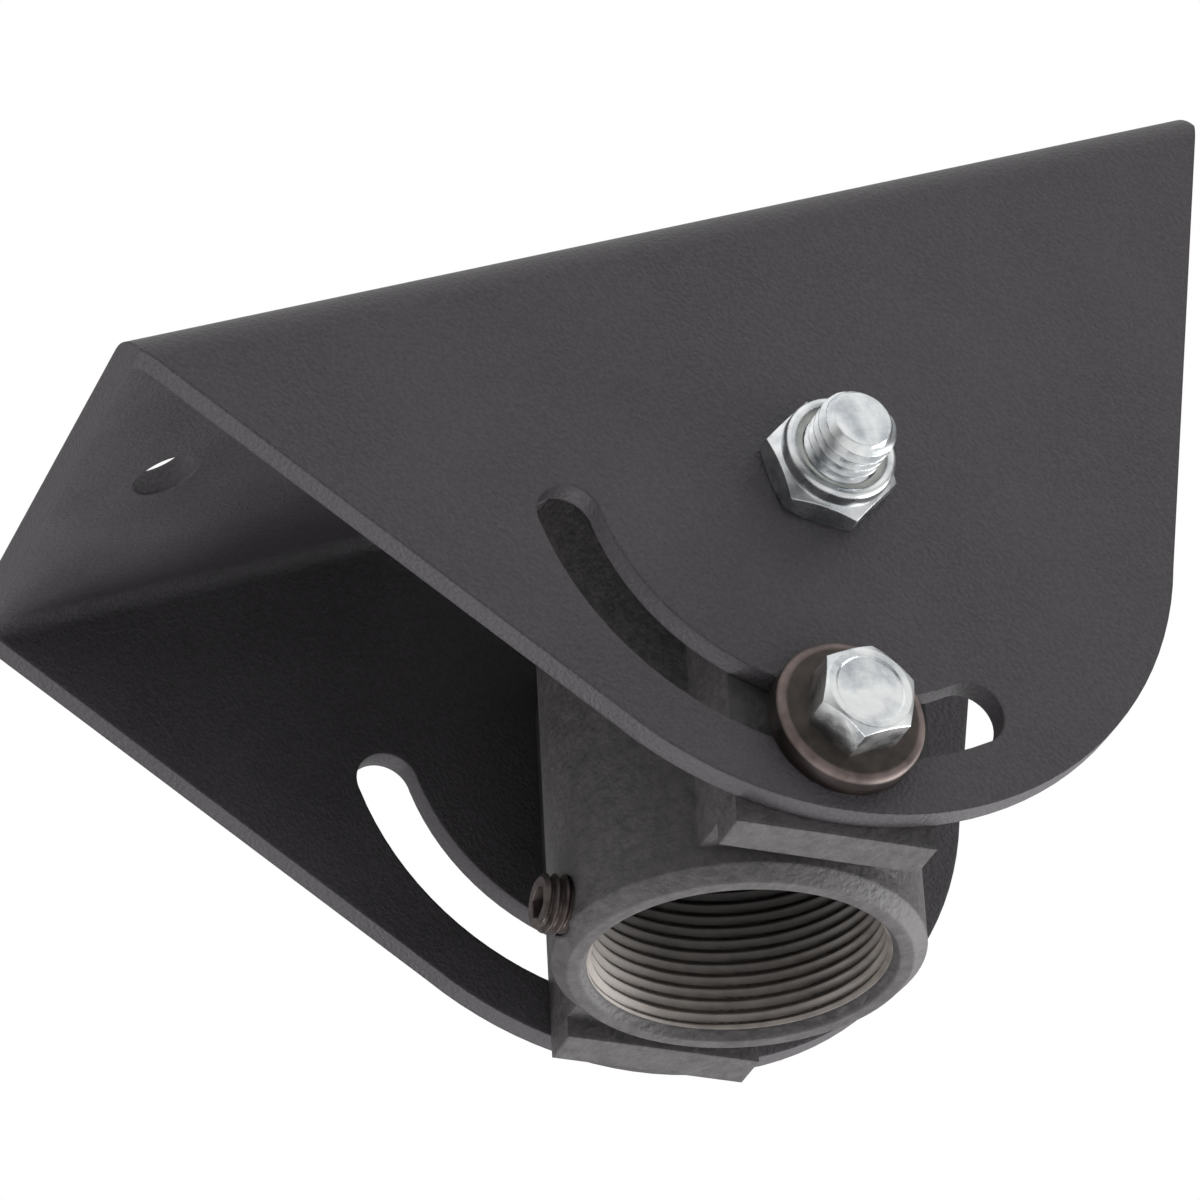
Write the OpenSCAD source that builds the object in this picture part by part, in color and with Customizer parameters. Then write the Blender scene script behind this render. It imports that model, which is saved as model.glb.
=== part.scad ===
/* [Ceiling bracket] */
// Length of the ceiling plate, along the slope of the ceiling
plate_len = 201.2; // [170:0.1:250]
// Width over the outsides of the two cheeks
channel_w = 88.9; // [80:0.1:110]
// Thickness of the folded sheet
sheet_t = 4.2; // [3:0.1:5.2]
// Inside radius of the two bends
bend_r = 2.8; // [1:0.1:4]
// Depth of the pivot below the ceiling face
pivot_drop = 50.8; // [42:0.1:65]
// Metal left outside the arc slot, which sets the round end of each cheek
rim_w = 9.6; // [6:0.1:14]
// Diameter of the two screw holes in the ceiling plate
screw_hole_d = 11; // [8:0.1:16]
// Distance from each screw hole's centre to the end of the plate
screw_edge = 19.6; // [14:0.1:30]

/* [Arc slots] */
// Radius of the slot's centre line about the pivot
slot_r = 45.3; // [38:0.1:56]
// Tilt of the coupler at the slot's steep end, in degrees
slot_min = -5.8; // [-20:0.1:0]
// Tilt of the coupler at the slot's flat end, in degrees
slot_max = 94.1; // [60:0.1:95]

/* [Pipe coupler] */
// Tilt at which the coupler is drawn, in degrees
tilt = 23.6; // [0:0.1:60]
// Outside diameter of the coupler's barrel
barrel_d = 59; // [57:0.1:64]
// Radius of the pipe thread's outer diameter in the barrel
thread_r = 24; // [20:0.1:24.5]
// Length of the threaded stretch
thread_len = 30; // [20:0.5:34]
// Radius of the plain cable bore above the thread
cable_r = 21.5; // [12:0.1:22]
// Distance from the lock bolts down to the coupler's mouth
lock_to_mouth = 18.7; // [16:0.1:24]
// Chamfer around the outside of the mouth
mouth_chamfer = 2.3; // [0.5:0.1:3]
// How much wider the bore is at its mouth than at the thread
mouth_flare = 1; // [0.3:0.1:1.2]
// Height of the barrel above the pivot
barrel_top = 16.5; // [12:0.1:20]
// Width of the flat pads that fill the gap to the cheeks
pad_w = 32.8; // [26:0.1:40]
// Thickness of each pad, out to its flat face
pad_t = 7.6; // [5:0.1:10]
// Step from the pads' lower end up to the neck between pad and barrel
neck_step = 3.6; // [1:0.1:6]
// Step from the coupler's mouth up to the pads
pad_step = 1.9; // [0.5:0.1:5]
// Gap between each pad and its cheek
pad_gap = 0.25; // [0.1:0.05:0.5]

/* [Pivot bolt and nut] */
// Diameter of the pivot bolt
pivot_d = 12.7; // [10:0.1:14]
// Across flats of the pivot bolt's head and nut
pivot_af = 19.05; // [17:0.05:22]
// Height of the pivot bolt's head
pivot_head_h = 7.9; // [6:0.1:9]
// Length of the pivot bolt beyond the near cheek
pivot_tip = 17; // [12:0.1:22]
// Height of the nut's hexagon
nut_hex_h = 5; // [4:0.1:7]
// Height of the nut's round collar
nut_collar_h = 3.4; // [2.6:0.1:4]

/* [Lock bolts and washers] */
// Diameter of the lock bolts
lock_d = 9.5; // [8:0.1:10]
// Length of each lock bolt under its head
lock_len = 21.4; // [16:0.1:22]
// Across flats of the lock bolts' heads
lock_af = 14.3; // [12:0.1:17]
// Height of the lock bolts' heads
lock_head_h = 7; // [5:0.1:8]
// Outside diameter of the lock washers
washer_d = 24.6; // [20:0.1:27]
// Thickness of the lock washers
washer_t = 4.3; // [2.4:0.1:5]

/* [Set screw] */
// Diameter of the set screw
set_d = 9.5; // [6:0.1:10]
// Length of the set screw
set_len = 10; // [8:0.1:10]
// How far the set screw stands out of the barrel
set_out = 5.2; // [4.8:0.1:7]
// Height of the set screw above the coupler's mouth
set_up = 6.6; // [6:0.1:12]
// Across flats of the set screw's socket
set_socket_af = 4.8; // [3:0.1:5]

/* [Hidden] */
$fn = 96;

// Play across a lock bolt in its slot, and radial play of a bolt in a plain hole, of the pivot in the coupler,
// and of a screw in its tapped hole
slot_play = 1.2;
hole_play = 0.15;
pivot_play = 0.07;
tapped_play = 0.05;
// Gap that keeps a washer off the cheek that it slides on
washer_gap = 0.1;
// Depth to which a line or a small round runs into a larger round, so that the two cross and don't only touch
crossing = 0.05;
// How far the nut's and the near lock bolt's hexagons are turned about their own axes, from level
nut_turn = 25;
front_bolt_turn = -2;
// Small chamfers on turned edges, depth of the mouth's countersink, slope in degrees of the hexagons' corners,
// and how far a cut reaches past a face
edge = 0.8;
countersink = 1.6;
corner_slope = 30;
past = 1;

slot_w = lock_d + slot_play;
cheek_y = channel_w / 2;
inner_y = cheek_y - sheet_t;
pad_y = inner_y - pad_gap;
cheek_r = slot_r + slot_w / 2 + rim_w;
coupler_drop = slot_r + lock_to_mouth;
barrel_r = barrel_d / 2;
washer_y = cheek_y + washer_gap;
head_y = washer_y + washer_t;
tapped_end = head_y - lock_len - past;

// Parts that turn with the coupler are drawn plumb about the pivot, then tilted
module tilted() {
    translate([0, 0, -pivot_drop]) rotate([0, tilt, 0]) children();
}

// A flat outline drawn in X and Z, thickened along Y about the centre plane
module across(width) {
    rotate([90, 0, 0]) linear_extrude(height = width, center = true) children();
}

// A turned solid about Z from half of its outline
module turned(points) {
    rotate_extrude() polygon(points);
}

// Stands a fastener drawn along +Z so that it points out of the near cheek
module out_of_front(y) {
    translate([0, -y, 0]) rotate([90, 0, 0]) children();
}

// The same out of the far cheek
module out_of_back(y) {
    translate([0, y, 0]) rotate([-90, 0, 0]) children();
}

// Section of the channel in Y and Z: web on top, two bends, two cheeks
module channel_section() {
    outer_r = bend_r + sheet_t;
    straight = cheek_y - outer_r;
    reach = pivot_drop + cheek_r + past;
    translate([-straight, -sheet_t]) square([2 * straight, sheet_t]);
    for (side = [0, 1]) mirror([side, 0]) {
        translate([inner_y, -reach]) square([sheet_t, reach - outer_r]);
        translate([straight, -outer_r]) intersection() {
            difference() {
                circle(r = outer_r);
                circle(r = bend_r);
            }
            square(outer_r);
        }
    }
}

// Both cheeks' outline as one block: straight edges from the plate's ends, tangent to the round end
module cheek_block() {
    start = [plate_len / 2, -sheet_t];
    fall = pivot_drop - sheet_t;
    span = norm([start[0], fall]);
    line_r = cheek_r - crossing;
    bearing = atan2(fall, start[0]) + asin(line_r / span);
    run = sqrt(pow(span, 2) - pow(line_r, 2));
    touch = [start[0] - run * cos(bearing), start[1] - run * sin(bearing)];
    across(channel_w) polygon([
        [-start[0], 0], [start[0], 0], start, touch, [-touch[0], touch[1]], [-start[0], start[1]]
    ]);
    across(channel_w) translate([0, -pivot_drop]) circle(r = cheek_r);
}

// Both slots about the pivot; a tilt of zero is straight down and positive tilts swing towards -X
module arc_slots() {
    far = 2 * cheek_r;
    middle = (slot_min + slot_max) / 2;
    cut_w = channel_w + 2 * past;
    translate([0, 0, -pivot_drop]) {
        across(cut_w) intersection() {
            difference() {
                circle(r = slot_r + slot_w / 2);
                circle(r = slot_r - slot_w / 2);
            }
            polygon([
                [0, 0],
                [-far * sin(slot_min), -far * cos(slot_min)],
                [-far * sin(middle), -far * cos(middle)],
                [-far * sin(slot_max), -far * cos(slot_max)]
            ]);
        }
        for (angle = [slot_min, slot_max])
            translate([-slot_r * sin(angle), 0, -slot_r * cos(angle)]) across(cut_w) circle(r = slot_w / 2 + crossing / 2);
    }
}

module ceiling_bracket() {
    color([0.2, 0.2, 0.21]) difference() {
        intersection() {
            rotate([90, 0, 90]) linear_extrude(height = plate_len, center = true) channel_section();
            cheek_block();
        }
        arc_slots();
        translate([0, 0, -pivot_drop]) across(channel_w + 2 * past) circle(r = pivot_d / 2 + hole_play);
        for (side = [-1, 1])
            translate([side * (plate_len / 2 - screw_edge), 0, -sheet_t - past])
                cylinder(d = screw_hole_d, h = sheet_t + 2 * past);
    }
}

// Barrel without its bore
module barrel_outside() {
    turned([
        [0, -coupler_drop], [barrel_r - mouth_chamfer, -coupler_drop], [barrel_r, -coupler_drop + mouth_chamfer],
        [barrel_r, barrel_top - edge], [barrel_r - edge, barrel_top], [0, barrel_top]
    ]);
}

// Thread, run-out and cable bore, countersunk at the mouth
module barrel_bore() {
    thread_top = -coupler_drop + thread_len;
    mouth_r = thread_r + mouth_flare;
    turned([
        [0, -coupler_drop - past], [mouth_r, -coupler_drop - past], [mouth_r, -coupler_drop],
        [thread_r, -coupler_drop + countersink], [thread_r, thread_top],
        [cable_r, thread_top + thread_r - cable_r], [cable_r, barrel_top + past], [0, barrel_top + past]
    ]);
}

// Both pads and their necks in one piece, with round tops about the pivot
module pads() {
    pad_bottom = pad_step - coupler_drop;
    neck_w = 2 * (pad_y - pad_t);
    across(2 * pad_y) circle(r = pad_w / 2 + crossing);
    difference() {
        across(2 * pad_y) translate([-pad_w / 2, pad_bottom]) square([pad_w, -pad_bottom]);
        across(neck_w) translate([-pad_w / 2 - past, pad_bottom - past]) square([pad_w + 2 * past, neck_step + past]);
    }
}

module pipe_coupler() {
    color([0.28, 0.28, 0.29]) tilted() difference() {
        union() {
            barrel_outside();
            pads();
        }
        barrel_bore();
        across(2 * pad_y + 2 * past) circle(r = pivot_d / 2 + pivot_play);
        for (side = [-1, 1])
            translate([0, side * (pad_y + tapped_end) / 2, -slot_r]) rotate([90, 0, 0])
                cylinder(r = lock_d / 2 + tapped_play, h = pad_y - tapped_end + 2 * tapped_play, center = true);
        translate([-barrel_r - past, 0, set_up - coupler_drop]) rotate([0, 90, 0])
            cylinder(r = set_d / 2 + tapped_play, h = barrel_r - cable_r + past);
    }
}

// Hexagon along +Z with its corners turned back at the top, and at the foot if asked for
module hexagon(across_flats, height, both_ends = false) {
    corner_r = across_flats / sqrt(3);
    flat_r = across_flats / 2 - edge / 2;
    drop = (corner_r - flat_r) * tan(corner_slope);
    foot_r = both_ends ? flat_r : corner_r;
    foot = both_ends ? drop : 0;
    intersection() {
        cylinder(r = corner_r, h = height, $fn = 6);
        turned([[0, 0], [foot_r, 0], [corner_r, foot], [corner_r, height - drop], [flat_r, height], [0, height]]);
    }
}

// Bolt with its head's seat at Z = 0, the head above and the shank below
module hex_bolt(shank_d, shank_len, across_flats, head_h) {
    shank_r = shank_d / 2;
    tip = shank_d / 8;
    hexagon(across_flats, head_h);
    turned([
        [0, -shank_len], [shank_r - tip, -shank_len], [shank_r, tip - shank_len],
        [shank_r, edge], [0, edge]
    ]);
}

module pivot_bolt() {
    color([0.75, 0.76, 0.76]) translate([0, 0, -pivot_drop]) out_of_back(cheek_y)
        hex_bolt(pivot_d, channel_w + pivot_tip, pivot_af, pivot_head_h);
}

// Inside of the nut's collar: the nylon ring sits round the thread in a recess under a turned-in lip
ring_wall = 1.45;
collar_wall = 1.4;
ring_floor = 0.6;
ring_lip = 0.8;
ring_r = pivot_d / 2 + ring_wall;
ring_z = nut_hex_h + ring_floor;
ring_h = nut_collar_h - ring_floor - ring_lip;

module pivot_lock_nut() {
    collar_r = ring_r + collar_wall;
    top = nut_hex_h + nut_collar_h;
    color([0.75, 0.76, 0.76]) translate([0, 0, -pivot_drop]) out_of_front(cheek_y) rotate(nut_turn) difference() {
        union() {
            hexagon(pivot_af, nut_hex_h, both_ends = true);
            turned([[0, edge], [collar_r, edge], [collar_r, top - edge], [collar_r - edge, top], [0, top]]);
        }
        turned([
            [0, -past], [pivot_d / 2 + tapped_play, -past], [pivot_d / 2 + tapped_play, ring_z],
            [ring_r, ring_z], [ring_r, ring_z + ring_h], [ring_r - edge / 2, top + past], [0, top + past]
        ]);
    }
}

module nut_nylon_ring() {
    color([0.85, 0.86, 0.84]) translate([0, 0, -pivot_drop]) out_of_front(cheek_y + ring_z)
        difference() {
            cylinder(r = ring_r - tapped_play, h = ring_h);
            translate([0, 0, -past]) cylinder(r = pivot_d / 2 + tapped_play, h = ring_h + 2 * past);
        }
}

module lock_bolt() {
    hex_bolt(lock_d, lock_len, lock_af, lock_head_h);
}

module lock_washer() {
    washer_r = washer_d / 2;
    hole_r = lock_d / 2 + 2 * hole_play;
    turned([
        [hole_r, 0], [washer_r, 0], [washer_r, washer_t - edge / 2], [washer_r - edge / 2, washer_t], [hole_r, washer_t]
    ]);
}

module at_front_lock(y) {
    tilted() translate([0, 0, -slot_r]) out_of_front(y) children();
}

module at_back_lock(y) {
    tilted() translate([0, 0, -slot_r]) out_of_back(y) children();
}

module front_lock_bolt() {
    color([0.75, 0.76, 0.76]) at_front_lock(head_y) rotate(tilt + front_bolt_turn) lock_bolt();
}

module back_lock_bolt() {
    color([0.75, 0.76, 0.76]) at_back_lock(head_y) lock_bolt();
}

module front_washer() {
    color([0.33, 0.26, 0.24]) at_front_lock(washer_y) lock_washer();
}

module back_washer() {
    color([0.33, 0.26, 0.24]) at_back_lock(washer_y) lock_washer();
}

module set_screw() {
    screw_r = set_d / 2;
    chamfer = set_d / 12;
    socket_depth = set_len * 0.45;
    cup_r = screw_r / 2;
    color([0.13, 0.1, 0.1]) tilted() translate([-barrel_r - set_out, 0, set_up - coupler_drop]) rotate([0, 90, 0])
        difference() {
            turned([
                [0, 0], [screw_r - chamfer, 0], [screw_r, chamfer], [screw_r, set_len - chamfer],
                [screw_r - chamfer, set_len], [cup_r, set_len], [0, set_len - cup_r / 2]
            ]);
            translate([0, 0, -past]) cylinder(d = set_socket_af * 2 / sqrt(3), h = socket_depth + past, $fn = 6);
        }
}

ceiling_bracket();
pipe_coupler();
pivot_bolt();
pivot_lock_nut();
nut_nylon_ring();
front_lock_bolt();
front_washer();
back_lock_bolt();
back_washer();
set_screw();
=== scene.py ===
import math

import bpy
from mathutils import Matrix, Vector


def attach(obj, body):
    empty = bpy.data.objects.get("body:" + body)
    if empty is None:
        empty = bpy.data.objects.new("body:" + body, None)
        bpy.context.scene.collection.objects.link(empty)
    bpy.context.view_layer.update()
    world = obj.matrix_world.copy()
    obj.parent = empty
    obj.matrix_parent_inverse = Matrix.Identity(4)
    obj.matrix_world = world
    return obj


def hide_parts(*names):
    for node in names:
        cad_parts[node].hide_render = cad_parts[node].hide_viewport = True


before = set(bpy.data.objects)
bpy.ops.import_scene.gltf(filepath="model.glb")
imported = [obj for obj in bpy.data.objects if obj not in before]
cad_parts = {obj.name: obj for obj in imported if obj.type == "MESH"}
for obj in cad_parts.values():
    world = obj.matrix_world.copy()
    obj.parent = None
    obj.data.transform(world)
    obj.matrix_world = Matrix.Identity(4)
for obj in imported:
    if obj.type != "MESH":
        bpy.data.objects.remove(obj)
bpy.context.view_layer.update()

# Sizes shared with the CAD part, in metres and degrees
MM = 0.001
INCH = 25.4 * MM
PIVOT_Z = -50.8 * MM
TILT = 23.6
CHEEK_Y = 44.45 * MM
SLOT_R = 45.3 * MM
COUPLER_DROP = 64 * MM
BARREL_R = 29.5 * MM
COUNTERSINK = 1.6 * MM
WASHER_Y = CHEEK_Y + 0.1 * MM
WASHER_R = 12.3 * MM
WASHER_HOLE_R = 5.05 * MM
WASHER_T = 4.3 * MM
HEAD_Y = WASHER_Y + WASHER_T
PIVOT_AF = 19.05 * MM
LOCK_R = 4.75 * MM
EDGE = 0.8 * MM

# Inch threads: pitch from the turns in an inch, and depth
HALF_INCH = (INCH / 13, 1.3 * MM)
THREE_EIGHTHS = (INCH / 16, 0.85 * MM)
PIPE = (INCH / 11.5, 0.9 * MM)

# Turned pieces: steps round a circle, rings in each turn of a thread, and the angle of a sharp edge
STEPS = 96
RINGS = 10
SHARP = math.radians(24)

# Range that holds nearly all of a noise texture's values
NOISE_LOW = 0.3
NOISE_HIGH = 0.7

BLACK = (0, 0, 0, 1)
WHITE = (1, 1, 1, 1)


def srgb(red, green, blue):
    """Linear colour from 0 to 255 values as a screen shows them."""
    return tuple(((v / 255 + 0.055) / 1.055) ** 2.4 for v in (red, green, blue)) + (1,)


# Placing


def out_of_front(y):
    """Turns a fastener drawn along +Z so that it points out of the near cheek."""
    return Matrix.Translation((0, -y, 0)) @ Matrix.Rotation(math.radians(90), 4, "X")


def out_of_back(y):
    """The same out of the far cheek."""
    return Matrix.Translation((0, y, 0)) @ Matrix.Rotation(math.radians(-90), 4, "X")


def at_pivot():
    return Matrix.Translation((0, 0, PIVOT_Z))


def tilted():
    """Place of what is drawn plumb about the pivot and turns with the coupler."""
    return at_pivot() @ Matrix.Rotation(math.radians(TILT), 4, "Y")


def at_lock():
    """Where the axis of both lock bolts crosses the centre plane."""
    return tilted() @ Matrix.Translation((0, 0, -SLOT_R))


def spin(degrees):
    return Matrix.Rotation(math.radians(degrees), 4, "Z")


# Mesh building: every piece is a stack of rings about its own Z axis


def circle(radius, z):
    return [radius], [z]


def ring_points(radii, heights):
    """One ring; a single radius or height stands for the whole ring."""
    points = []
    for i in range(STEPS):
        angle = 2 * math.pi * i / STEPS
        radius = radii[i % len(radii)]
        height = heights[i % len(heights)]
        points.append((radius * math.cos(angle), radius * math.sin(angle), height))
    return points


def ring_faces(count, capped):
    """Bands between neighbouring rings, with two end caps or a band from the last ring to the first."""
    faces = []
    for row in range(count - 1 if capped else count):
        low = row * STEPS
        high = (row + 1) % count * STEPS
        for i in range(STEPS):
            j = (i + 1) % STEPS
            faces.append((low + i, low + j, high + j, high + i))
    if capped:
        faces.append(tuple(reversed(range(STEPS))))
        faces.append(tuple(range((count - 1) * STEPS, count * STEPS)))
    return faces


def stack(name, rings, place, body, finish, replaced=None, capped=True):
    """One closed piece from its rings, which rides on a body and may take a CAD node's place."""
    verts = []
    for radii, heights in rings:
        verts.extend(ring_points(radii, heights))
    mesh = bpy.data.meshes.new(name)
    mesh.from_pydata(verts, [], ring_faces(len(rings), capped))
    mesh.shade_smooth()
    mesh.set_sharp_from_angle(angle=SHARP)
    mesh.transform(place)
    piece = bpy.data.objects.new(name, mesh)
    bpy.context.scene.collection.objects.link(piece)
    piece.data.materials.append(MATERIALS[finish])
    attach(piece, body)
    if replaced:
        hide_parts(replaced)


def hexagon_radii(across_flats):
    """Distance to a hexagon's side at each step of a ring, with corners on the X axis."""
    radii = []
    for i in range(STEPS):
        angle = math.radians((360 * i / STEPS) % 60 - 30)
        radii.append(across_flats / 2 / math.cos(angle))
    return radii


def chamfer_heights(radii, flat_r, top, sign=1):
    """Heights at which a 30 degree cone cuts the hexagon's sides."""
    slope = math.tan(math.radians(30))
    return [top - sign * (r - flat_r) * slope for r in radii]


def rounded_rings(radius, top, edge, steps):
    """Rings of a quarter round, from a side wall of the given radius up to a flat top."""
    rings = []
    for step in range(steps + 1):
        angle = math.radians(90 * step / steps)
        rings.append(circle(radius - edge * (1 - math.cos(angle)), top - edge * (1 - math.sin(angle))))
    return rings


def hex_head_rings(across_flats, height):
    """Rings of a bolt's head from its seat at Z = 0 to its top, with a shallow dish in the top."""
    radii = hexagon_radii(across_flats)
    flat_r = across_flats / 2 - EDGE / 2
    dish_rim = 1.1 * MM
    dish_depth = 0.25 * MM
    dish_r = flat_r - dish_rim
    return [
        (radii, [0]),
        (radii, chamfer_heights(radii, flat_r, height)),
        circle(flat_r, height),
        circle(dish_r, height),
        circle(dish_r - dish_depth, height - dish_depth),
    ]


def thread_wave(turn):
    """Height of a thread's profile, 0 at the root and 1 at the crest, with small flats."""
    flat = 0.12
    wave = abs(2 * (turn % 1) - 1)
    return min(1, max(0, (wave - flat) / (1 - 2 * flat)))


def thread_rings(low, high, major, minor, pitch, limit, inside=False):
    """Rings of a helical thread; limit(z) is the end chamfers' radius, which cuts the crests."""
    rows = int((high - low) / pitch * RINGS)
    rings = []
    for row in range(rows + 1):
        z = low + (high - low) * row / rows
        radii = []
        for i in range(STEPS):
            wave = thread_wave(z / pitch + i / STEPS)
            if inside:
                radii.append(max(major - (major - minor) * wave, limit(z)))
            else:
                radii.append(min(minor + (major - minor) * wave, limit(z)))
        rings.append((radii, [z]))
    return rings


def bolt_rings(shank_r, shank_len, threaded_len, thread, across_flats, head_h):
    """A bolt from its tip up to the top of its head, with the head's seat at Z = 0."""
    pitch, depth = thread
    tip = shank_r / 4
    thread_end = threaded_len - shank_len

    def limit(z):
        return min(shank_r, shank_r - tip + z + shank_len)

    rings = thread_rings(-shank_len, thread_end, shank_r, shank_r - depth, pitch, limit)
    rings.append(circle(shank_r, thread_end + pitch / 2))
    rings.append(circle(shank_r, 0))
    return rings + hex_head_rings(across_flats, head_h)


# Materials


def blank(name):
    """A material with its node tree, its shader and the object's own coordinates in metres."""
    material = bpy.data.materials.new(name)
    material.use_nodes = True
    tree = material.node_tree
    shader = tree.nodes["Principled BSDF"]
    place = tree.nodes.new("ShaderNodeTexCoord").outputs["Object"]
    return material, tree, shader, place


def noise(tree, place, scale, detail):
    """Noise of about 1 / scale metres."""
    texture = tree.nodes.new("ShaderNodeTexNoise")
    texture.inputs["Scale"].default_value = scale
    texture.inputs["Detail"].default_value = detail
    tree.links.new(place, texture.inputs["Vector"])
    return texture.outputs["Fac"]


def ramp(tree, factor, dark, light, low=NOISE_LOW, high=NOISE_HIGH):
    """Colour from dark at factor low to light at factor high."""
    node = tree.nodes.new("ShaderNodeValToRGB")
    node.color_ramp.elements[0].position = low
    node.color_ramp.elements[0].color = dark
    node.color_ramp.elements[1].position = high
    node.color_ramp.elements[1].color = light
    tree.links.new(factor, node.inputs["Fac"])
    return node.outputs["Color"]


def colour_mix(tree, first, second):
    """A mix of two colours, whose factor is still to be set or linked."""
    node = tree.nodes.new("ShaderNodeMix")
    node.data_type = "RGBA"
    tree.links.new(first, node.inputs["A"])
    tree.links.new(second, node.inputs["B"])
    return node


def blend_colours(tree, mask, first, second):
    """The first colour where the mask is 0, and the second where it is 1."""
    node = colour_mix(tree, first, second)
    tree.links.new(mask, node.inputs["Factor"])
    return node.outputs["Result"]


def share_colours(tree, share, first, second):
    """The same mix everywhere, with the given share of the second colour."""
    node = colour_mix(tree, first, second)
    node.inputs["Factor"].default_value = share
    return node.outputs["Result"]


def span(tree, factor, low, high):
    """A number that runs from low to high with the noise."""
    node = tree.nodes.new("ShaderNodeMapRange")
    node.inputs["From Min"].default_value = NOISE_LOW
    node.inputs["From Max"].default_value = NOISE_HIGH
    node.inputs["To Min"].default_value = low
    node.inputs["To Max"].default_value = high
    tree.links.new(factor, node.inputs["Value"])
    return node.outputs["Result"]


def step_up(tree, value, middle, blur):
    """Goes smoothly from 0 to 1 about the middle value, over the blur on both sides of it."""
    node = tree.nodes.new("ShaderNodeMapRange")
    node.interpolation_type = "SMOOTHSTEP"
    node.inputs["From Min"].default_value = middle - blur
    node.inputs["From Max"].default_value = middle + blur
    tree.links.new(value, node.inputs["Value"])
    return node.outputs["Result"]


def calculate(tree, operation, first, second=None):
    node = tree.nodes.new("ShaderNodeMath")
    node.operation = operation
    tree.links.new(first, node.inputs[0])
    if second is not None:
        tree.links.new(second, node.inputs[1])
    return node.outputs["Value"]


def split_axes(tree, vector):
    """The X, Y and Z outputs of a vector."""
    node = tree.nodes.new("ShaderNodeSeparateXYZ")
    tree.links.new(vector, node.inputs["Vector"])
    return node.outputs


def bump(tree, shader, height, depth, round_r):
    """Grain of the given depth, over edges rounded to the given radius."""
    rounded = tree.nodes.new("ShaderNodeBevel")
    rounded.samples = 4
    rounded.inputs["Radius"].default_value = round_r
    node = tree.nodes.new("ShaderNodeBump")
    node.inputs["Strength"].default_value = 1
    node.inputs["Distance"].default_value = depth
    tree.links.new(height, node.inputs["Height"])
    tree.links.new(rounded.outputs["Normal"], node.inputs["Normal"])
    tree.links.new(node.outputs["Normal"], shader.inputs["Normal"])


def powder_coat():
    """Fine-textured charcoal powder coat, clouded a little."""
    material, tree, shader, place = blank("powder_coat")
    grain = noise(tree, place, 1500, 3)
    cloud = noise(tree, place, 45, 4)
    dark = srgb(60, 57, 60)
    light = srgb(79, 76, 79)
    cloud_share = 0.45
    colour = share_colours(tree, cloud_share, ramp(tree, grain, dark, light), ramp(tree, cloud, dark, light))
    tree.links.new(colour, shader.inputs["Base Color"])
    tree.links.new(span(tree, cloud, 0.5, 0.62), shader.inputs["Roughness"])
    shader.inputs["Specular IOR Level"].default_value = 0.4
    bump(tree, shader, grain, depth=0.24 * MM, round_r=0.8 * MM)
    return material


def cast_coat():
    """The coupler's coat: rougher, and mottled where the casting shows through."""
    material, tree, shader, place = blank("coupler_coat")
    grain = noise(tree, place, 900, 5)
    patches = noise(tree, place, 420, 6)
    colour = ramp(tree, patches, srgb(66, 64, 65), srgb(87, 84, 85))
    tree.links.new(colour, shader.inputs["Base Color"])
    tree.links.new(span(tree, patches, 0.52, 0.64), shader.inputs["Roughness"])
    shader.inputs["Specular IOR Level"].default_value = 0.4
    bump(tree, shader, grain, depth=0.3 * MM, round_r=0.9 * MM)
    return material


def coupler_axes(tree, place):
    """Coordinates about the pivot, with Z along the coupler's barrel."""
    mapping = tree.nodes.new("ShaderNodeMapping")
    mapping.vector_type = "TEXTURE"
    mapping.inputs["Location"].default_value = (0, 0, PIVOT_Z)
    mapping.inputs["Rotation"].default_value = (0, math.radians(TILT), 0)
    tree.links.new(place, mapping.inputs["Vector"])
    return split_axes(tree, mapping.outputs["Vector"])


def bare_thread():
    """Cut steel of the pipe thread, warm grey, with painted shade that darkens it further into the bore."""
    material, tree, shader, place = blank("bare_thread")
    patches = noise(tree, place, 300, 4)
    half_fade = 13 * MM
    # Painted shade: the thread goes from its own colour at the mouth to a dark shaded colour further in.
    depth = step_up(tree, coupler_axes(tree, place)["Z"], half_fade - COUPLER_DROP, half_fade)
    bare_near_mouth = ramp(tree, patches, srgb(108, 102, 98), srgb(136, 129, 123))
    shaded_far_in = ramp(tree, patches, srgb(41, 39, 37), srgb(60, 57, 55))
    tree.links.new(blend_colours(tree, depth, bare_near_mouth, shaded_far_in), shader.inputs["Base Color"])
    tree.links.new(span(tree, patches, 0.44, 0.56), shader.inputs["Roughness"])
    shader.inputs["Metallic"].default_value = 0.25
    bump(tree, shader, patches, depth=0.03 * MM, round_r=0.2 * MM)
    return material


def zinc():
    """Bright zinc plate with faint cloudy marks."""
    material, tree, shader, place = blank("zinc_plate")
    cloud = noise(tree, place, 210, 5)
    colour = ramp(tree, cloud, srgb(172, 177, 182), srgb(236, 238, 238), low=0.32, high=0.62)
    tree.links.new(colour, shader.inputs["Base Color"])
    tree.links.new(span(tree, cloud, 0.22, 0.34), shader.inputs["Roughness"])
    shader.inputs["Metallic"].default_value = 1
    bump(tree, shader, cloud, depth=0.1 * MM, round_r=0.3 * MM)
    return material


def lock_axes(tree, place):
    """Coordinates about the middle of the lock bolts' axis, with Y along it."""
    node = tree.nodes.new("ShaderNodeVectorMath")
    node.operation = "SUBTRACT"
    node.inputs[1].default_value = at_lock().translation
    tree.links.new(place, node.inputs[0])
    return split_axes(tree, node.outputs["Vector"])


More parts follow.
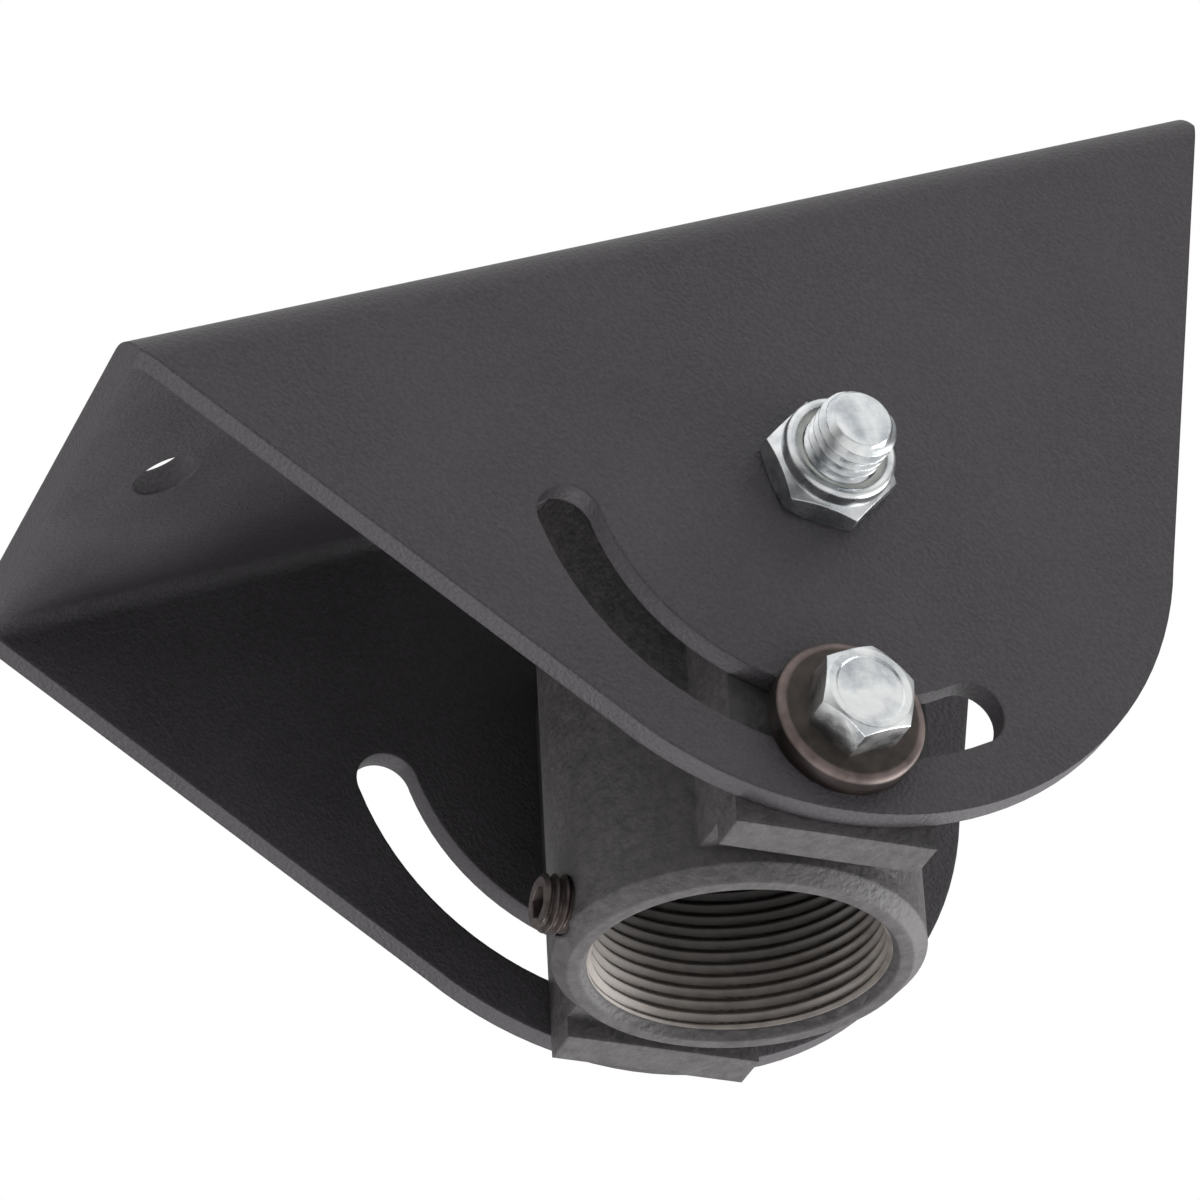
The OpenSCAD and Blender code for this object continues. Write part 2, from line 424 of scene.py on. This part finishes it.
def washer_zones(tree, place):
    """Two masks for both washers: the painted highlight on the rim of the outer face, and the painted shade
    on the side wall.
    """
    rim_w = 1.4 * MM
    face_depth = 0.8 * MM
    wall_depth = 0.25 * MM
    blur = 0.3 * MM
    axes = lock_axes(tree, place)
    x_square = calculate(tree, "MULTIPLY", axes["X"], axes["X"])
    z_square = calculate(tree, "MULTIPLY", axes["Z"], axes["Z"])
    radius = calculate(tree, "SQRT", calculate(tree, "ADD", x_square, z_square))
    outwards = calculate(tree, "ABSOLUTE", axes["Y"])
    # Mask of the painted highlight on the rim.
    rim = step_up(tree, radius, WASHER_R - rim_w, blur)
    face = step_up(tree, outwards, HEAD_Y - face_depth, blur)
    # Mask of the painted shade on the side wall.
    wall = step_up(tree, radius, WASHER_R - wall_depth, blur / 2)
    return calculate(tree, "MULTIPLY", rim, face), wall


def dark_washer():
    """Brown oxide on steel, with a redder, lighter painted highlight on the rim and painted shade on the
    side wall.
    """
    material, tree, shader, place = blank("dark_washer")
    patches = noise(tree, place, 320, 4)
    body = ramp(tree, patches, srgb(46, 40, 37), srgb(76, 68, 62))
    # Painted highlight: a redder, lighter colour on the rim of the outer face.
    rim = ramp(tree, patches, srgb(90, 79, 76), srgb(130, 116, 112))
    # Painted shade: a much darker colour on the side wall.
    side = ramp(tree, patches, srgb(24, 19, 18), srgb(46, 36, 33))
    rim_highlight_zone, wall_shade_zone = washer_zones(tree, place)
    flat = blend_colours(tree, wall_shade_zone, body, side)
    tree.links.new(blend_colours(tree, rim_highlight_zone, flat, rim), shader.inputs["Base Color"])
    tree.links.new(span(tree, patches, 0.42, 0.56), shader.inputs["Roughness"])
    shader.inputs["Metallic"].default_value = 0.5
    bump(tree, shader, patches, depth=0.05 * MM, round_r=0.2 * MM)
    return material


def black_oxide():
    """Oiled black oxide of the set screw, slightly brown."""
    material, tree, shader, place = blank("black_oxide")
    patches = noise(tree, place, 400, 4)
    colour = ramp(tree, patches, srgb(54, 46, 45), srgb(98, 87, 85))
    tree.links.new(colour, shader.inputs["Base Color"])
    tree.links.new(span(tree, patches, 0.3, 0.5), shader.inputs["Roughness"])
    shader.inputs["Metallic"].default_value = 0.5
    bump(tree, shader, patches, depth=0.04 * MM, round_r=0.1 * MM)
    return material


def nylon():
    """Natural nylon of the lock nut's ring."""
    material, tree, shader, place = blank("nylon")
    cloud = noise(tree, place, 500, 3)
    colour = ramp(tree, cloud, srgb(196, 199, 194), srgb(220, 222, 217))
    tree.links.new(colour, shader.inputs["Base Color"])
    tree.links.new(span(tree, cloud, 0.4, 0.5), shader.inputs["Roughness"])
    bump(tree, shader, cloud, depth=0.02 * MM, round_r=0.1 * MM)
    return material


MATERIALS = {
    "powder_coat": powder_coat(),
    "coupler_coat": cast_coat(),
    "zinc_plate": zinc(),
    "nylon": nylon(),
    "dark_washer": dark_washer(),
    "black_oxide": black_oxide(),
    "bare_thread": bare_thread(),
}


# Pieces


def dress_cad_nodes():
    """The CAD nodes that are shown as they are."""
    for node, slot in (
        ("ceiling_bracket", "powder_coat"),
        ("pipe_coupler", "coupler_coat"),
        ("nut_nylon_ring", "nylon"),
    ):
        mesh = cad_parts[node].data
        mesh.materials.clear()
        mesh.materials.append(MATERIALS[slot])


def pivot_bolt():
    rings = bolt_rings(
        shank_r=6.35 * MM,
        shank_len=105.3 * MM,
        threaded_len=34 * MM,
        thread=HALF_INCH,
        across_flats=PIVOT_AF,
        head_h=7.9 * MM,
    )
    place = at_pivot() @ out_of_back(CHEEK_Y)
    stack("threaded_pivot_bolt", rings, place, "bracket", "zinc_plate", "pivot_bolt")


def nut_rings():
    """A lock nut from its bore at the seat, round the outside, to the bore at the nylon ring's recess."""
    bore_r = 6.4 * MM
    hexagon_h = 5 * MM
    collar_r = 9.2 * MM
    neck_r = collar_r - 0.35 * MM
    neck_top = hexagon_h + 0.3 * MM
    collar_base = hexagon_h + 0.7 * MM
    top = 8.4 * MM
    lip_edge = 1 * MM
    lip_fall = 0.15 * MM
    recess_r = 7.8 * MM
    recess_z = 5.6 * MM
    mouth_r = recess_r - 0.2 * MM
    radii = hexagon_radii(PIVOT_AF)
    flat_r = PIVOT_AF / 2 - EDGE / 2
    rings = [
        circle(bore_r, 0),
        circle(flat_r, 0),
        (radii, chamfer_heights(radii, flat_r, 0, sign=-1)),
        (radii, chamfer_heights(radii, flat_r, hexagon_h)),
        circle(neck_r, hexagon_h),
        circle(neck_r, neck_top),
        circle(collar_r, collar_base),
    ]
    rings += rounded_rings(collar_r, top, lip_edge, steps=6)
    rings.append(circle(mouth_r, top - lip_fall))
    rings.append(circle(recess_r, recess_z))
    rings.append(circle(bore_r, recess_z))
    return rings


def pivot_lock_nut():
    """Hexagon with both ends chamfered and a round collar whose lip is rolled in over the nylon ring."""
    nut_turn = 25
    place = at_pivot() @ out_of_front(CHEEK_Y) @ spin(nut_turn)
    stack("collared_lock_nut", nut_rings(), place, "bracket", "zinc_plate", "pivot_lock_nut", capped=False)


def lock_bolts():
    """The near bolt's head is turned as in the photo."""
    front_turn = TILT - 2
    rings = bolt_rings(
        shank_r=LOCK_R,
        shank_len=21.4 * MM,
        threaded_len=15 * MM,
        thread=THREE_EIGHTHS,
        across_flats=14.3 * MM,
        head_h=7 * MM,
    )
    front = at_lock() @ out_of_front(HEAD_Y) @ spin(front_turn)
    stack("front_hex_bolt", rings, front, "coupler", "zinc_plate", "front_lock_bolt")
    back = at_lock() @ out_of_back(HEAD_Y)
    stack("back_hex_bolt", rings, back, "coupler", "zinc_plate", "back_lock_bolt")


def washer_rings():
    """Thick washer with a rounded outer edge and lightly broken other edges."""
    rounding = 1.2 * MM
    broken = 0.2 * MM
    rings = [circle(WASHER_HOLE_R, 0), circle(WASHER_R - broken, 0), circle(WASHER_R, broken)]
    rings += rounded_rings(WASHER_R, WASHER_T, rounding, steps=5)
    rings.append(circle(WASHER_HOLE_R + broken, WASHER_T))
    rings.append(circle(WASHER_HOLE_R, WASHER_T - broken))
    return rings


def washers():
    for side, turn in (("front", out_of_front), ("back", out_of_back)):
        name = "rounded_" + side + "_washer"
        place = at_lock() @ turn(WASHER_Y)
        stack(name, washer_rings(), place, "coupler", "dark_washer", side + "_washer", capped=False)


def set_screw_rings(length):
    """A socket set screw from the socket's floor, over the outside, to the floor of its cup point."""
    socket_depth = 4 * MM
    socket_edge = 0.2 * MM
    floor_r = 0.3 * MM
    cup_depth = 1.2 * MM
    pitch, depth = THREE_EIGHTHS
    socket = hexagon_radii(4.8 * MM)

    def limit(z):
        return min(LOCK_R, LOCK_R - EDGE + z, LOCK_R - EDGE + length - z)

    rings = [
        circle(floor_r, socket_depth),
        (socket, [socket_depth]),
        (socket, [socket_edge]),
        ([r + socket_edge for r in socket], [0]),
    ]
    rings += thread_rings(0, length, LOCK_R, LOCK_R - depth, pitch, limit)
    rings.append(circle(LOCK_R / 2, length))
    rings.append(circle(floor_r, length - cup_depth))
    return rings


def set_screw():
    """Set screw low in the coupler's side, with its hexagon socket outwards."""
    length = 8.8 * MM
    stands_out = 4 * MM
    above_mouth = 6.6 * MM
    place = (
        tilted()
        @ Matrix.Translation((-BARREL_R - stands_out, 0, above_mouth - COUPLER_DROP))
        @ Matrix.Rotation(math.radians(90), 4, "Y")
    )
    stack("threaded_set_screw", set_screw_rings(length), place, "coupler", "black_oxide", "set_screw")


def coupler_thread():
    """Female pipe thread in the coupler's mouth, as a thin sleeve on the bore's wall."""
    pitch, depth = PIPE
    wall_r = 24 * MM
    sleeve_r = wall_r + 0.02 * MM
    length = 28.4 * MM
    lead_in = 0.8
    low = -COUPLER_DROP + COUNTERSINK
    high = low + length

    def limit(z):
        return wall_r - (z - low) * lead_in

    rings = thread_rings(low, high, wall_r, wall_r - depth, pitch, limit, inside=True)
    rings.append(circle(sleeve_r, high))
    rings.append(circle(sleeve_r, low))
    stack("coupler_thread", rings, tilted(), "coupler", "bare_thread", capped=False)


# Stage


def floor():
    """Plain pale floor well below the hanging bracket."""
    material, tree, shader, place = blank("pale_floor")
    cloud = noise(tree, place, 3, 2)
    colour = ramp(tree, cloud, (0.78, 0.78, 0.78, 1), (0.82, 0.82, 0.82, 1))
    tree.links.new(colour, shader.inputs["Base Color"])
    shader.inputs["Roughness"].default_value = 0.9
    half = 6
    height = -1.3
    mesh = bpy.data.meshes.new("floor")
    corners = [(-half, -half, height), (half, -half, height), (half, half, height), (-half, half, height)]
    mesh.from_pydata(corners, [], [(0, 1, 2, 3)])
    mesh.materials.append(material)
    plane = bpy.data.objects.new("floor", mesh)
    bpy.context.scene.collection.objects.link(plane)


def background(tree, strength):
    node = tree.nodes.new("ShaderNodeBackground")
    node.inputs["Color"].default_value = WHITE
    node.inputs["Strength"].default_value = strength
    return node


def room_light(tree):
    """A soft room, dark below the horizon and white towards the zenith."""
    place = tree.nodes.new("ShaderNodeTexCoord").outputs["Generated"]
    height = tree.nodes.new("ShaderNodeMapRange")
    height.inputs["From Min"].default_value = -1
    height.inputs["From Max"].default_value = 1
    tree.links.new(split_axes(tree, place)["Z"], height.inputs["Value"])
    shade = ramp(tree, height.outputs["Result"], BLACK, WHITE, low=0.45, high=0.9)
    room = background(tree, 1.2)
    tree.links.new(shade, room.inputs["Color"])
    return room


def studio():
    """White backdrop for the camera, and the room's light for everything else."""
    world = bpy.data.worlds.new("studio")
    bpy.context.scene.world = world
    world.use_nodes = True
    tree = world.node_tree
    tree.nodes.clear()
    seen = tree.nodes.new("ShaderNodeLightPath")
    mix = tree.nodes.new("ShaderNodeMixShader")
    out = tree.nodes.new("ShaderNodeOutputWorld")
    tree.links.new(seen.outputs["Is Camera Ray"], mix.inputs["Fac"])
    tree.links.new(room_light(tree).outputs["Background"], mix.inputs[1])
    tree.links.new(background(tree, 1).outputs["Background"], mix.inputs[2])
    tree.links.new(mix.outputs["Shader"], out.inputs["Surface"])


def soft_light(name, place, size, power):
    """A square soft box, with its size in metres and power in watts, that faces the bracket's middle."""
    middle = Vector((0, 0, -0.06))
    lamp = bpy.data.lights.new(name, "AREA")
    lamp.shape = "SQUARE"
    lamp.size = size
    lamp.energy = power
    box = bpy.data.objects.new(name, lamp)
    box.location = place
    box.rotation_mode = "QUATERNION"
    box.rotation_quaternion = (middle - Vector(place)).to_track_quat("-Z", "Y")
    bpy.context.scene.collection.objects.link(box)


def lights():
    soft_light("front_right_light", (0.6, -0.5, 0.12), size=0.6, power=0.62)
    soft_light("low_left_light", (-0.8, 0.5, -0.85), size=0.6, power=7)
    soft_light("low_right_light", (0.8, 0.1, -0.9), size=0.9, power=18)


def camera():
    """The photo's own view, solved from points on the bracket."""
    place = (-0.523236, -0.783364, -0.389374)
    right = Vector((0.836710, -0.354332, -0.417570))
    forward = Vector((0.507614, 0.787950, 0.348515))
    up = right.cross(forward).normalized()
    turn = Matrix((right, up, -forward)).transposed()
    lens = bpy.data.cameras.new("camera")
    lens.sensor_width = 36
    lens.lens = 185.971
    lens.clip_start = 0.05
    lens.clip_end = 20
    eye = bpy.data.objects.new("camera", lens)
    eye.matrix_world = Matrix.Translation(place) @ turn.to_4x4()
    bpy.context.scene.collection.objects.link(eye)
    bpy.context.scene.camera = eye


dress_cad_nodes()
pivot_bolt()
pivot_lock_nut()
lock_bolts()
washers()
set_screw()
coupler_thread()
floor()
studio()
lights()
camera()

bpy.context.scene.view_settings.view_transform = "Standard"
